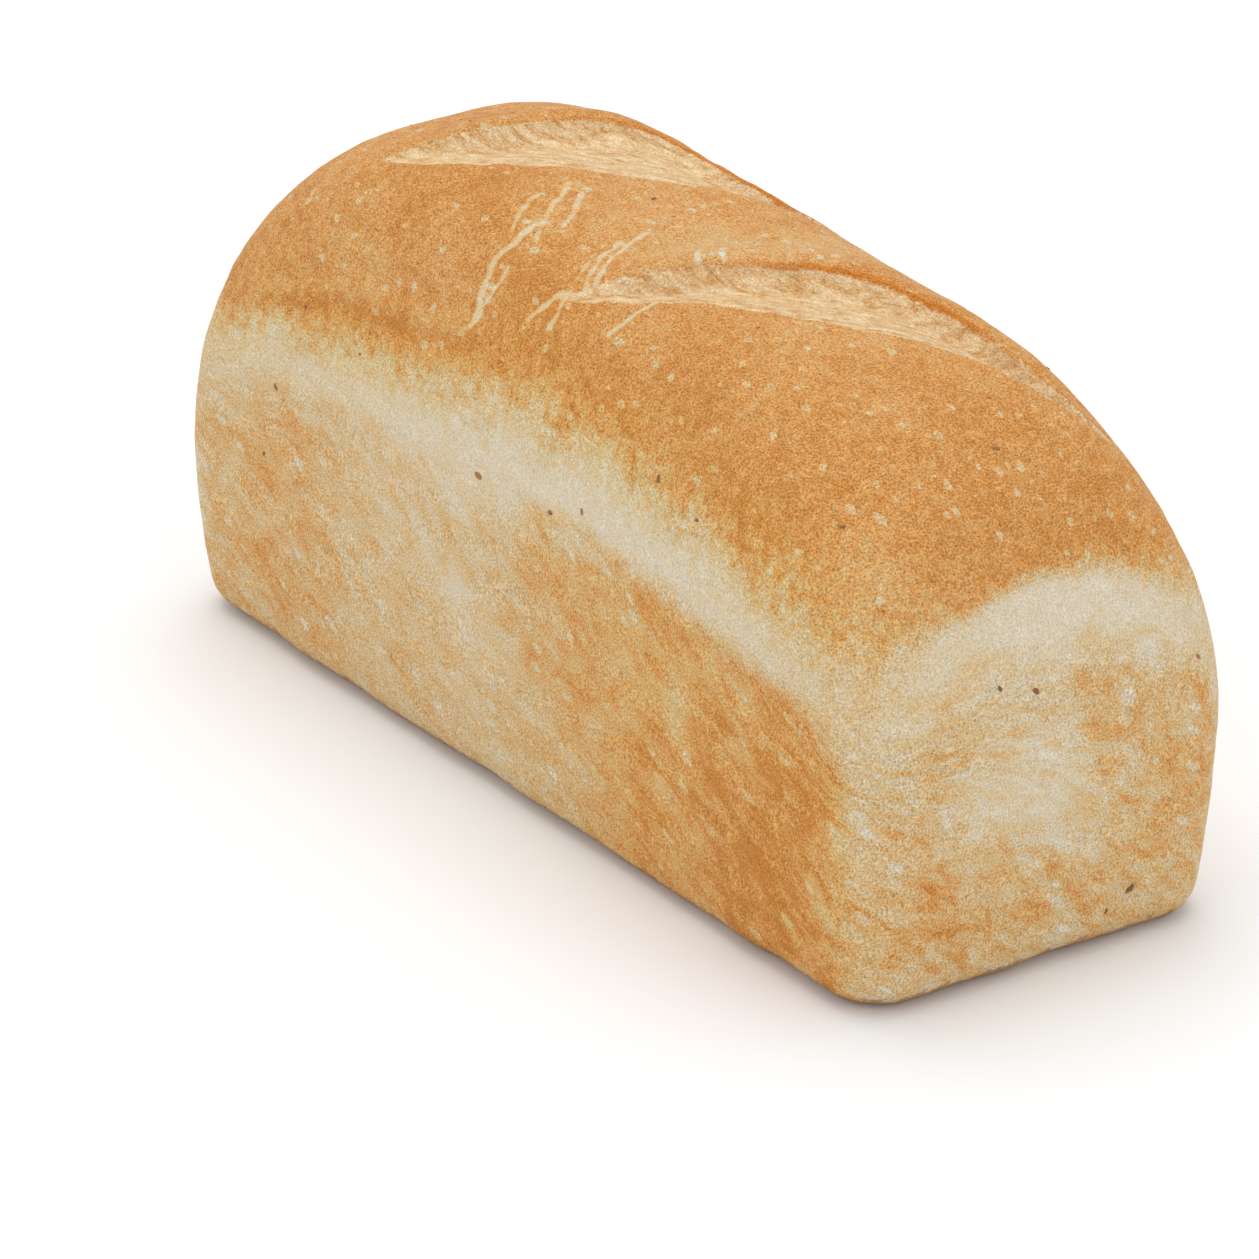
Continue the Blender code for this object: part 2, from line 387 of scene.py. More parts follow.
@dataclass
class LoafForm:
    """The loaf's outer form, worked out from its CAD box.

    Points of the crown come from two parameters -1..1, along and across the loaf. The walls repeat the
    crown's rim at each height. Lengths here are in metres.
    """

    low: Vector
    high: Vector
    corner_radius: float = 0.0145
    spring_height: float = 0.042
    lip_above_crest: float = 0.0019
    base_draw_in: tuple[float, float] = (0.0025, 0.0033)
    crown_tilt: float = -0.05
    crown_lean: tuple[float, float] = (0.0018, 0.0025)
    lean_swell: float = 0.00017
    end_power: float = 4.7
    end_root: float = 2.27
    full_side_power: float = 3.55
    full_side_root: float = 3.2
    lean_side_power: float = 3.2
    lean_side_root: float = 2.85
    base_rounding: float = 0.0080
    base_unevenness: float = 0.0015
    base_waves: int = 7
    half_length: float = field(init=False)
    half_width: float = field(init=False)
    height: float = field(init=False)
    crown_rise: float = field(init=False)

    def __post_init__(self) -> None:
        """Read the sizes from the box."""
        self.half_length = (self.high.x - self.low.x) / 2.0
        self.half_width = (self.high.y - self.low.y) / 2.0 - self.lean_swell
        self.height = self.high.z
        self.crown_rise = self.height - self.lip_above_crest - self.spring_height

    def end_arch(self, across_u: Array) -> Array:
        """Height of the crown along the loaf: (1 - |u|^power)^(1/root)."""
        return np.clip(1.0 - np.abs(across_u) ** self.end_power, 0.0, 1.0) ** (1.0 / self.end_root)

    def side_arch(self, across_v: Array) -> Array:
        """Height of the crown across the loaf: (1 - |v|^power)^(1/root), fuller on the -Y side."""
        power = np.where(across_v < 0.0, self.full_side_power, self.lean_side_power)
        root = np.where(across_v < 0.0, self.full_side_root, self.lean_side_root)
        return np.clip(1.0 - np.abs(across_v) ** power, 0.0, 1.0) ** (1.0 / root)

    def rounded_plan(self, across_u: Array, across_v: Array, half: tuple[float, float], radius: float):
        """Carry the square -1..1 to a rectangle whose corner squares are drawn onto discs.

        Args:
            across_u: Parameter along the loaf.
            across_v: Parameter across the loaf.
            half: Half length and half width of the rectangle.
            radius: Radius of its corners.

        Returns:
            The x and y of each point.
        """
        x = across_u * half[0]
        y = across_v * half[1]
        out_x = np.clip(np.abs(x) - (half[0] - radius), 0.0, radius) / radius
        out_y = np.clip(np.abs(y) - (half[1] - radius), 0.0, radius) / radius
        disc_x = radius * out_x * np.sqrt(1.0 - out_y**2 / 2.0)
        disc_y = radius * out_y * np.sqrt(1.0 - out_x**2 / 2.0)
        x = np.sign(x) * (np.minimum(np.abs(x), half[0] - radius) + disc_x)
        y = np.sign(y) * (np.minimum(np.abs(y), half[1] - radius) + disc_y)
        return x, y

    def crown(self, across_u: Array, across_v: Array) -> Array:
        """Points of the smooth crown: the plan raised by the product of the two arches.

        Args:
            across_u: Parameter along the loaf, -1..1.
            across_v: Parameter across the loaf, -1..1.

        Returns:
            The points, shape (n, 3).
        """
        share = (1.0 + self.crown_tilt * across_u) * self.end_arch(across_u) * self.side_arch(across_v)
        half = (self.half_length, self.half_width)
        x, y = self.rounded_plan(across_u, across_v, half, self.corner_radius)
        x = x + self.crown_lean[0] * share
        y = y + self.crown_lean[1] * share - self.lean_swell
        return np.stack([x, y, self.spring_height + self.crown_rise * share], axis=-1)

    def wall(self, across_u: Array, across_v: Array, height: float, inset: float) -> Array:
        """Points of the walls at one height: the rim drawn in by a parabola towards the base.

        Args:
            across_u: Parameter along the loaf, -1..1.
            across_v: Parameter across the loaf, -1..1.
            height: Height above the base.
            inset: How far the outline is drawn in further, as under the rounded base edge.

        Returns:
            The points, shape (n, 3).
        """
        share = height / self.spring_height
        slack = 1.0 - share * (2.0 - share)
        inset = np.minimum(inset, self.half_width - self.base_draw_in[1])
        half_length = self.half_length - self.base_draw_in[0] * slack - inset
        half_width = self.half_width - self.base_draw_in[1] * slack - inset
        radius = np.maximum(self.corner_radius - inset, 1e-6)
        x, y = self.rounded_plan(across_u, across_v, (half_length, half_width), radius)
        return np.stack([x, y - self.lean_swell, np.full_like(x, height)], axis=-1)

    def place_round(self, points: Array) -> Array:
        """Where points lie round the loaf, -2..2, as BROWN_LINE has it.

        Along the straight sides the place goes with x, up to 0.6; the rest is a quarter turn about
        the middle of the end's own semicircle.
        """
        straight = self.half_length - self.half_width
        beyond = np.abs(points[:, 0] - np.clip(points[:, 0], -straight, straight))
        turned = 1.0 - np.arctan2(np.abs(points[:, 1]), beyond) / (np.pi / 2.0)
        quarter = np.where(beyond > 0.0, 0.6 + 0.4 * turned, 0.6 * np.abs(points[:, 0]) / straight)
        place = np.where(points[:, 1] <= 0.0, quarter, 2.0 - quarter)
        return np.where(points[:, 0] >= 0.0, place, -place)

    def around(self, place: Array, line: tuple[tuple[float, float], ...]) -> Array:
        """Value of a line of (place, value) round the loaf: straight pieces with averaged corners."""
        spots, values = np.array(line).T
        reach = np.linspace(-0.025, 0.025, 7)
        return np.mean([np.interp(place + step, spots, values, period=4.0) for step in reach], axis=0)


# --------------------------------------------------------------------------- the skin


@dataclass
class CrustSkin:
    """The whole crust as one closed mesh: a crown grid, rings down the walls, and rings under the base."""

    form: LoafForm
    cells_along: int = 360
    cells_across: int = 190
    crest_crowding: float = 1.9
    wall_rings: int = 17
    rounding_rings: int = 5
    base_rings: int = 5
    broad_swell: float = 0.0009
    lumps: float = 0.00035
    wrinkles: float = 0.00016
    base_scallops: float = 0.0007
    points: Array = field(init=False)
    faces: list = field(init=False)
    drape: Array = field(init=False)
    fold: Array = field(init=False)
    fields: dict = field(default_factory=dict)

    def spacing(self, profile: Callable, reach: float, cells: int) -> tuple[Array, Array]:
        """Parameters -1..1 spaced by the length of an arch, and closer together near its crest.

        Args:
            profile: The arch's height for a parameter.
            reach: The arch's half span.
            cells: How many steps there are.

        Returns:
            The parameters, and the length over the surface from the middle to each of them.
        """
        fine = np.sin(np.linspace(-np.pi / 2.0, np.pi / 2.0, 6001))
        across = np.diff(reach * fine)
        up = np.diff(self.form.crown_rise * profile(fine))
        step = np.hypot(across, up)
        flatness = 1.0 - np.abs(up) / step
        weighted = np.concatenate([[0.0], np.cumsum(step * (1.0 + (self.crest_crowding - 1.0) * flatness))])
        length = np.concatenate([[0.0], np.cumsum(step)])
        length = length - np.interp(0.0, fine, length)
        even = np.linspace(0.0, weighted[-1], cells + 1)
        return np.interp(even, weighted, fine), np.interp(even, weighted, length)

    def build(self) -> None:
        """Work out the points, the faces and the flat charts of the skin."""
        form = self.form
        grid_u, run_u = self.spacing(form.end_arch, form.half_length, self.cells_along)
        grid_v, run_v = self.spacing(form.side_arch, form.half_width, self.cells_across)
        u, v = (part.ravel() for part in np.meshgrid(grid_u, grid_v, indexing="ij"))
        run = np.stack([part.ravel() for part in np.meshgrid(run_u, run_v, indexing="ij")], axis=-1)
        rows, columns = self.cells_along + 1, self.cells_across + 1
        index = np.arange(rows * columns).reshape(rows, columns)
        crown_quads = np.stack([index[:-1, :-1], index[1:, :-1], index[1:, 1:], index[:-1, 1:]], -1).reshape(-1, 4)
        rim = np.concatenate([index[:-1, 0], index[-1, :-1], index[:0:-1, -1], index[0, :0:-1]])
        around = len(rim)
        layers = [form.crown(u, v)]
        runs = [run]
        turn = np.arctan2(v[rim], u[rim])
        waves = np.sin(form.base_waves * turn) + np.sin((form.base_waves + 4) * turn)
        rounding = form.base_rounding + form.base_unevenness * 0.5 * waves
        for height, inset in self._levels(rounding):
            layers.append(form.wall(u[rim], v[rim], height, inset))
            runs.append(run[rim] * (1.0 + (form.spring_height - height) / np.linalg.norm(run[rim], axis=1))[:, None])
        points = np.concatenate(layers)
        rings = np.arange(rows * columns, len(points)).reshape(-1, around)
        rings = np.concatenate([rim[None, :], rings])
        after = np.roll(rings, -1, axis=1)
        wall_quads = np.stack([rings[:-1], rings[1:], after[1:], after[:-1]], -1).reshape(-1, 4)
        self.points = points
        self.drape = np.concatenate(runs)
        self._close_base(points, crown_quads, wall_quads, rings[-1])

    def _levels(self, rounding: Array):
        """Heights and insets of the rings: down the walls, round the base edge, then in under the base."""
        form = self.form
        for ring in range(1, self.wall_rings + 1):
            share = ring / self.wall_rings
            yield form.spring_height + (form.base_rounding - form.spring_height) * share, 0.0
        for ring in range(1, self.rounding_rings + 1):
            angle = np.pi / 2.0 * ring / self.rounding_rings
            yield form.base_rounding * (1.0 - math.sin(angle)), rounding * (1.0 - math.cos(angle))
        for ring in range(1, self.base_rings + 1):
            share = ring / self.base_rings
            yield 0.0, rounding * (1.0 - share) + form.half_width * share

    def _close_base(self, points: Array, crown_quads: Array, wall_quads: Array, last: Array) -> None:
        """Weld the innermost base ring, which lies folded on the middle line, into one seam."""
        keys = np.round(points[last][:, :2] / 1e-5).astype(np.int64)
        _, first, which = np.unique(keys[:, 0], return_index=True, return_inverse=True)
        weld = np.arange(len(points))
        weld[last] = last[first][which.ravel()]
        quads = weld[np.concatenate([crown_quads, wall_quads])]
        after = np.roll(quads, -1, axis=1)
        whole = (quads != after).all(axis=1)
        used = np.unique(quads)
        renumber = np.full(len(points), -1)
        renumber[used] = np.arange(len(used))
        narrow = [list(dict.fromkeys(row)) for row in renumber[quads[~whole]].tolist()]
        self.faces = renumber[quads[whole]].tolist() + [row for row in narrow if len(row) > 2]
        self.points = points[used]
        self.drape = self.drape[used]

    def normals(self) -> Array:
        """Unit normals of the points: the sum of the crossed diagonals of the faces round each."""
        quads = np.array([face for face in self.faces if len(face) == 4])
        corners = self.points[quads]
        crossed = np.cross(corners[:, 2] - corners[:, 0], corners[:, 3] - corners[:, 1])
        total = np.zeros_like(self.points)
        for corner in range(4):
            for axis in range(3):
                total[:, axis] += np.bincount(quads[:, corner], crossed[:, axis], len(self.points))
        return total / np.maximum(np.linalg.norm(total, axis=1, keepdims=True), 1e-12)

    def slash_places(self, slash: Slash) -> tuple[Array, Array, Array, Array, Array]:
        """Where the points lie about one slash, with its ragged edges.

        Args:
            slash: The slash.

        Returns:
            The share along it, the distance across it, its near edge and its lip edge, both as
            distances across, and its length over all points.
        """
        form = self.form
        scale = np.array([form.half_length, form.half_width])
        start = np.array(slash.start) * scale
        chord = np.array(slash.end) * scale - start
        length = math.hypot(*chord)
        ahead = chord / length
        gap = self.points[:, :2] - start
        along = gap @ ahead
        across = gap[:, 1] * ahead[0] - gap[:, 0] * ahead[1]
        ragged = Unevenness(slash.seed)
        line = np.stack([along, np.zeros_like(along), np.zeros_like(along)], axis=-1)
        torn_near = ragged.at(line, 0.014, 2) * slash.ragged_long + ragged.at(line + 3.0, 0.004, 2) * slash.ragged_short
        torn_lip = ragged.at(line + 7.0, 0.012, 2) * slash.ragged_long + ragged.at(line + 9.0, 0.004, 2) * slash.ragged_short
        share = along / length
        held = np.clip(share, 0.0, 1.0)
        fade = smooth_step(held / 0.1) * smooth_step((1.0 - held) / 0.1)
        near_edge = -slash.near_bow * arch(share, slash.near_peak) ** slash.near_power + torn_near * fade
        lip_edge = slash.lip_bow * arch(share, slash.lip_peak) ** slash.lip_power + torn_lip * fade
        return share, across, near_edge, lip_edge, np.full_like(share, length)

    def open_slash(self, slash: Slash) -> tuple[Array, Array]:
        """Shape one slash and write how far each point lies from its edges.

        The surface slopes down from the near edge, climbs steeply at the lip's face and stands proud
        behind it. The lip also leans over the hollow, and the hollow is pulled into long shreds.

        Args:
            slash: The slash.

        Returns:
            The height added to each point, and the sideways move of each point.
        """
        share, across, near_edge, lip_edge, length = self.slash_places(slash)
        gape = np.maximum(lip_edge - near_edge, slash.least_opening)
        opening = (across - near_edge) / gape
        hollow = smooth_step(opening / slash.hollow_share)
        hollow = hollow * (1.0 - smooth_step((opening - slash.hollow_share) / slash.lip_face_share))
        behind = (across - lip_edge) / slash.lip_width
        lip = smooth_step(behind + 0.5) * (1.0 - smooth_step((behind - 0.5) / 1.5))
        strength = smooth_step(share / slash.fade_share) * smooth_step((1.0 - share) / slash.fade_share)
        beyond = np.maximum(np.maximum(-share, share - 1.0), 0.0) * length
        inside = np.minimum(across - near_edge, lip_edge - across)
        inside = np.where(beyond > 0.0, -np.hypot(across, beyond), inside)
        place = np.stack([share * length, across, np.full_like(across, slash.seed * 0.1)], axis=-1)
        shreds = Unevenness(slash.seed + 40).at(place * np.array([0.22, 1.0, 1.0]), 0.0022, 3)
        shreds = shreds * smooth_step(inside / 0.003) * 0.00055 - 0.0006 * smooth_step(inside / 0.0014)
        crumbs = Unevenness(slash.seed + 60).at(place, 0.004, 3) * smooth_step(inside / 0.003) * 0.0005
        lumpy = 1.0 + 0.35 * Unevenness(slash.seed + 20).at(place, 0.011, 2)
        height = strength * (slash.lip_height * lip * lumpy - slash.depth * hollow) + shreds + crumbs
        lean = strength * slash.lip_overhang * smooth_step(behind + 0.6) * (1.0 - smooth_step((behind - 0.3) / 1.2))
        scale = np.array([self.form.half_length, self.form.half_width])
        chord = (np.array(slash.end) - np.array(slash.start)) * scale
        left = np.array([-chord[1], chord[0]]) / np.hypot(*chord)
        nearer = inside > self.fields[Fields.TEAR]
        past_lip = np.where(beyond > 0.0, np.hypot(across, beyond), across - lip_edge)
        self.fields[Fields.LIP] = np.where(nearer, past_lip, self.fields[Fields.LIP])
        ramp = (share - slash.caramel_from) / (slash.caramel_to - slash.caramel_from)
        caramel = smooth_step(ramp / 0.5) * smooth_step((1.0 - ramp) / 0.15)
        self.fields[Fields.CARAMEL] = np.where(nearer, caramel, self.fields[Fields.CARAMEL])
        self.fields[Fields.FIBRE] = np.where(nearer[:, None], place, self.fields[Fields.FIBRE])
        self.fields[Fields.TEAR] = np.maximum(inside, self.fields[Fields.TEAR])
        return height, -left * lean[:, None]

    def mark(self) -> None:
        """Write the fields that say how baked each point is, with some painted shade, how uneven it is and where it is
        felted.
        """
        form = self.form
        points = self.points
        half = np.array([form.half_length, form.half_width])
        place = form.place_round(points)
        corner = np.min([np.abs(place - spot) for spot in CORNERS], axis=0)
        at_corner = np.exp(-((corner / 0.020) ** 2))
        long_side = smooth_step((0.90 - np.minimum(np.abs(place), 2.0 - np.abs(place))) / 0.25)
        brown, pale, rim = (form.height * form.around(place, line) for line in (BROWN_LINE, PALE_LINE, RIM_LINE))
        tone = form.around(place, PALE_TONE) + 0.05 * Unevenness(35).at(points, 0.020, 2)
        up = points[:, 2]
        grain = self._grain()
        scale = np.array([*half, form.height])
        clouds = 0.05 * Unevenness(8).at(points, 0.040, 2) + 0.09 * Unevenness(9).at(points, 0.012, 2)
        behind = np.exp(-((self.fields[Fields.LIP] / 0.009) ** 2)) * self.fields[Fields.CARAMEL]
        crown = 0.765 + clouds + self.patches(CROWN_PATCHES, scale) + 0.08 * behind
        felt = 0.06 * Unevenness(5).at(points, 0.045, 2) + 0.13 * Unevenness(6).at(grain, 0.010, 2)
        aside = place + 0.055 * Unevenness(39).at(points, 0.026, 3)
        wall = form.around(aside, WALL_TONE) + felt + self.patches(WALL_PATCHES, scale)
        wall = wall + (0.43 - wall) * at_corner * 0.8
        ragged = Unevenness(33).at(points, 0.009, 3)
        rise = (up - pale) / (brown - pale) + ragged * (0.14 + 0.16 * long_side)
        slow = 0.55 * smooth_step(rise / 1.1) + 0.45 * smooth_step((rise - 0.25) / 1.1)
        quick = smooth_step((rise - 0.25) / 0.8)
        above = tone + (crown - tone) * (quick + (slow - quick) * long_side)
        fall = (pale - up) / (pale - rim) + 0.25 * Unevenness(34).at(points, 0.012, 2)
        below = tone + (wall - tone) * smooth_step((fall - 0.1) / form.around(place, FADE_SPAN))
        streak = np.exp(-(((up - rim) / 0.0024 + 1.2 * ragged) ** 2)) * smooth_step((0.72 - np.abs(place)) / 0.1)
        streak = streak * (0.35 + 0.65 * smooth_step((place + 0.02) / 0.15))
        below = below + 0.20 * streak * smooth_step(0.55 + 1.1 * Unevenness(36).at(grain, 0.009, 2))
        bake = np.where(up > pale, above, below)
        fold = distance_to_path(self.drape, np.array(FOLD_LINE) * half) * np.where(self.drape[:, 0] < 0.0, 1.0, 9.0)
        self.fold = fold
        # A darker strip in the crease beneath the fold: partly deeper-baked mottles, partly painted shade under the
        # fold's overhang.
        under = distance_to_path(self.drape, (np.array(FOLD_LINE) + (0.0, -0.075)) * half)
        under = np.exp(-((under / 0.0024 + 0.7 * ragged) ** 2)) * (self.drape[:, 0] < 0.0)
        wander = np.stack([Unevenness(31).at(points, 0.005, 2), Unevenness(32).at(points, 0.005, 2)], axis=-1)
        drape = self.drape + wander * 0.0012
        gaps = [distance_to_path(drape, np.array(m.path) * half) - m.width / 2.0 for m in STRETCH_MARKS]
        self.fields[Fields.STRETCH] = np.minimum(np.min(gaps, axis=0), fold + 0.0003)
        # Darken the strip beneath the fold: part browner crust, part painted shade.
        bake = bake + 0.15 * under
        self.fields[Fields.BAKE] = bake
        grit = 0.52 + 0.48 * smooth_step((bake - 0.12) / 0.40)
        calm = 0.35 * smooth_step((rise - 0.9) / 0.4)
        calm = calm - 0.6 * np.exp(-(((rise - 0.6) / 0.45) ** 2)) * long_side
        lively = (0.55 - 0.43 * long_side) * smooth_step((pale - up) / 0.01)
        smooth = np.maximum(0.0, 0.30 * smooth_step(self.fields[Fields.TEAR] / 0.001))
        smooth = np.maximum(smooth, 0.6 * smooth_step(1.0 - self.fields[Fields.STRETCH] / 0.0010))
        self.fields[Fields.GRIT] = grit * (1.0 - smooth)
        self.fields[Fields.MOTTLE] = grit * (1.0 - calm + lively)
        near_edge = 0.5 * np.exp(-(((up - brown) / 0.012) ** 2)) * long_side
        golden_wall = 0.45 * smooth_step((form.around(place, WALL_TONE) - 0.45) / 0.25) * smooth_step((rim - up) / 0.006)
        clouded = 1.0 + 0.6 * Unevenness(38).at(points, 0.018, 2)
        self.fields[Fields.GOLD] = np.clip((near_edge + golden_wall) * clouded, 0.0, 1.0)
        self.fields[Fields.FELT] = smooth_step((pale - up) / 0.010 + 0.5)
        self.fields[Fields.WRINKLE] = np.clip(self.patches(WRINKLE_PATCHES, scale), 0.0, 1.0)
        self.fields[Fields.GRAIN] = grain

    def patches(self, patches: tuple, scale: Array) -> Array:
        """Sum of the patches over the points, each fading outwards as a bell curve.

        Args:
            patches: The patches.
            scale: The loaf's half length, half width and height.

        Returns:
            The sum at each point.
        """
        total = np.zeros(len(self.points))
        ragged = 1.0 + 0.5 * Unevenness(37).at(self.points, 0.013, 3)
        for patch in patches:
            gap = np.linalg.norm(self.points - np.array(patch.place) * scale, axis=1) * ragged
            total += patch.amount * np.exp(-((gap / patch.reach) ** 2) / 2.0)
        return total

    def _grain(self) -> Array:
        """Places along and across the felted streaks of the walls.

        The streaks lie in tilted planes, so they slope down to the right on the -Y side and the +X
        end. Near the ends' tops the planes bend into arches: a parabola of y takes the slope's place.
        """
        x, y, z = self.points.T
        slope_x, slope_y, arch_radius = 0.50, 0.70, 0.075
        size = math.sqrt(1.0 + slope_x**2 + slope_y**2)
        arched = smooth_step((z / self.form.height - 0.36) / 0.2) * np.abs(x / self.form.half_length) ** 6
        across = z + slope_x * x + slope_y * y * (1.0 - arched) + arched * y**2 / (2.0 * arch_radius)
        level_run = (slope_y * x - slope_x * y) / math.hypot(slope_x, slope_y)
        steep_run = (z * math.hypot(slope_x, slope_y) - (slope_x * x + slope_y * y) / math.hypot(slope_x, slope_y)) / size
        return np.stack([level_run * 0.45, steep_run * 0.45, across / size], axis=-1)

    def relieve(self) -> None:
        """Move the points: the slashes, then the swell, lumps and wrinkles of the crust."""
        count = len(self.points)
        self.fields[Fields.TEAR] = np.full(count, -1.0)
        self.fields[Fields.LIP] = np.full(count, 1.0)
        self.fields[Fields.CARAMEL] = np.zeros(count)
        self.fields[Fields.FIBRE] = np.zeros((count, 3))
        moved = np.zeros_like(self.points)
        for slash in SLASHES:
            height, aside = self.open_slash(slash)
            moved[:, 2] += height
            moved[:, :2] += aside
        self.fields[Fields.TEAR] = np.maximum(self.fields[Fields.TEAR], -0.02)
        self.fields[Fields.LIP] = np.clip(self.fields[Fields.LIP], -0.03, 0.03)
        self.mark()
        rest = self.points
        crown_share = 1.0 - self.fields[Fields.FELT]
        swell = Unevenness(1).at(rest, 0.055, 2) * self.broad_swell
        lumps = Unevenness(2).at(rest, 0.016, 3) * self.lumps
        wrinkles = Unevenness(3).at(rest, 0.006, 3) * self.wrinkles * (0.5 + crown_share)
        grooves = -0.00015 * (1.0 - smooth_step(self.fields[Fields.STRETCH] / 0.0012 + 0.5))
        fold = 0.0007 * np.exp(-((self.fold / 0.0022) ** 2)) - 0.0005 * np.exp(-(((self.fold - 0.004) / 0.003) ** 2))
        relief = swell + lumps + wrinkles + grooves + fold
        above_base = smooth_step((rest[:, 2] - 0.001) / 0.008)
        scallop = Unevenness(4).at(rest * np.array([1.0, 1.0, 0.3]), 0.013, 2) * self.base_scallops
        scallop = scallop * (1.0 - smooth_step((rest[:, 2] - 0.006) / 0.016)) * (rest[:, 2] > 1e-6)
        self.points = rest + self.normals() * (relief * above_base + scallop)[:, None] + moved
        self.points[:, 2] = np.maximum(self.points[:, 2], 0.0)

    def mesh(self, name: str) -> bpy.types.Object:
        """Make the skin an object, with its fields as attributes.

        Args:
            name: Name of the object and of its mesh.

        Returns:
            The object, linked to the scene.
        """
        made = bpy.data.meshes.new(name)
        made.from_pydata(self.points.tolist(), [], self.faces)
        made.shade_smooth()
        for kind, values in self.fields.items():
            flat = values.ndim == 1
            layer = made.attributes.new(kind.value, "FLOAT" if flat else "FLOAT_VECTOR", "POINT")
            layer.data.foreach_set("value" if flat else "vector", values.astype(np.float32).ravel())
        made.validate()
        made.update()
        crust = bpy.data.objects.new(name, made)
        bpy.context.scene.collection.objects.link(crust)
        return crust


# --------------------------------------------------------------------------- finishes


class Recipe:
    """Adds the nodes of one finish to its material and joins them up."""

    def __init__(self, name: str) -> None:
        """Start a material with only its shader and its output."""
        self.material = bpy.data.materials.new(name)
        self.material.use_nodes = True
        self.tree = self.material.node_tree
        self.shader = self.tree.nodes["Principled BSDF"]
        self.place = self.tree.nodes.new("ShaderNodeTexCoord").outputs["Object"]

    def feed(self, socket: Socket, value: Feed) -> None:
        """Link a socket to another, or set it to a number, vector or colour."""
        if isinstance(value, bpy.types.NodeSocket):
            self.tree.links.new(value, socket)
        elif isinstance(value, tuple) and len(value) == 3 and socket.type == "RGBA":
            socket.default_value = (*value, 1.0)
        else:
            socket.default_value = value

    def field(self, kind: Fields) -> Socket:
        """The value that the skin carries for a field."""
        node = self.tree.nodes.new("ShaderNodeAttribute")
        node.attribute_name = kind.value
        return node.outputs["Vector" if kind in (Fields.GRAIN, Fields.FIBRE) else "Fac"]

    def scaled(self, where: Socket, stretch: tuple[float, float, float]) -> Socket:
        """A place stretched by a factor on each axis."""
        node = self.tree.nodes.new("ShaderNodeMapping")
        self.feed(node.inputs["Vector"], where)
        node.inputs["Scale"].default_value = stretch
        return node.outputs["Vector"]

    def noise(self, where: Socket, size: float, detail: float = 2.0, rough: float = 0.5, warp: float = 0.0) -> Socket:
        """Smooth noise from 0 to 1 whose broadest lumps have the given size in metres."""
        node = self.tree.nodes.new("ShaderNodeTexNoise")
        self.feed(node.inputs["Vector"], where)
        node.inputs["Scale"].default_value = 1.0 / size
        node.inputs["Detail"].default_value = detail
        node.inputs["Roughness"].default_value = rough
        node.inputs["Distortion"].default_value = warp
        return node.outputs["Fac"]

    def spots(self, where: Socket, size: float) -> tuple[Socket, Socket]:
        """Scattered spots: the distance to the nearest one, in spacings, and a random colour for each."""
        node = self.tree.nodes.new("ShaderNodeTexVoronoi")
        self.feed(node.inputs["Vector"], where)
        node.inputs["Scale"].default_value = 1.0 / size
        return node.outputs["Distance"], node.outputs["Color"]

    def level(self, value: Feed, start: float, end: float, low: float = 0.0, high: float = 1.0) -> Socket:
        """Carry start..end smoothly to low..high and hold the value outside."""
        node = self.tree.nodes.new("ShaderNodeMapRange")
        node.interpolation_type = "SMOOTHSTEP"
        self.feed(node.inputs["Value"], value)
        for name, number in zip(("From Min", "From Max", "To Min", "To Max"), (start, end, low, high)):
            node.inputs[name].default_value = number
        return node.outputs["Result"]

    def maths(self, operation: str, first: Feed, second: Feed = 0.0, third: Feed = 0.0) -> Socket:
        """One sum on up to three numbers."""
        node = self.tree.nodes.new("ShaderNodeMath")
        node.operation = operation
        for socket, value in zip(node.inputs, (first, second, third)):
            self.feed(socket, value)
        return node.outputs["Value"]

    def times(self, first: Feed, second: Feed) -> Socket:
        """The product of two numbers."""
        return self.maths("MULTIPLY", first, second)

    def plus(self, *values: Feed) -> Socket:
        """The sum of several numbers."""
        total = values[0]
        for value in values[1:]:
            total = self.maths("ADD", total, value)
        return total

    def swing(self, value: Socket, amount: float) -> Socket:
        """A noise from 0 to 1 carried to -amount..amount."""
        return self.maths("MULTIPLY_ADD", value, 2.0 * amount, -amount)

    def blend(self, share: Feed, under: Feed, over: Feed) -> Socket:
        """Lay one colour over another by a share."""
        node = self.tree.nodes.new("ShaderNodeMix")
        node.data_type = "RGBA"
        self.feed(node.inputs["Factor"], share)
        self.feed(node.inputs[6], under)
        self.feed(node.inputs[7], over)
        return node.outputs[2]

    def shaded(self, colour: Socket, share: Socket) -> Socket:
        """A colour multiplied by a number."""
        node = self.tree.nodes.new("ShaderNodeMix")
        node.data_type = "RGBA"
        node.blend_type = "MULTIPLY"
        node.inputs["Factor"].default_value = 1.0
        self.feed(node.inputs[6], colour)
        self.feed(node.inputs[7], share)
        return node.outputs[2]

    def tinted(self, share: Socket, colour: Socket, tint: tuple) -> Socket:
        """A colour multiplied by a tint, as far as a share says."""
        made = self.shaded(colour, tint)
        self.feed(made.node.inputs["Factor"], share)
        return made

    def ramp(self, value: Socket, stops: tuple) -> Socket:
        """A colour read from a row of (value, colour) stops."""
        node = self.tree.nodes.new("ShaderNodeValToRGB")
        row = node.color_ramp.elements
        while len(row) < len(stops):
            row.new(1.0)
        for stop, (spot, colour) in zip(row, stops):
            stop.position = spot
            stop.color = (*colour, 1.0)
        self.feed(node.inputs["Fac"], value)
        return node.outputs["Color"]

    def between(self, share: Socket, first: Socket, second: Socket) -> Socket:
        """A number blended from the first to the second by a share."""
        return self.maths("MULTIPLY_ADD", share, self.maths("SUBTRACT", second, first), first)

    def raised(self, height: Socket, strength: float = 1.0) -> None:
        """Give the shader a relief whose height is in metres."""
        node = self.tree.nodes.new("ShaderNodeBump")
        node.inputs["Strength"].default_value = strength
        node.inputs["Distance"].default_value = 1.0
        self.feed(node.inputs["Height"], height)
        self.feed(self.shader.inputs["Normal"], node.outputs["Normal"])


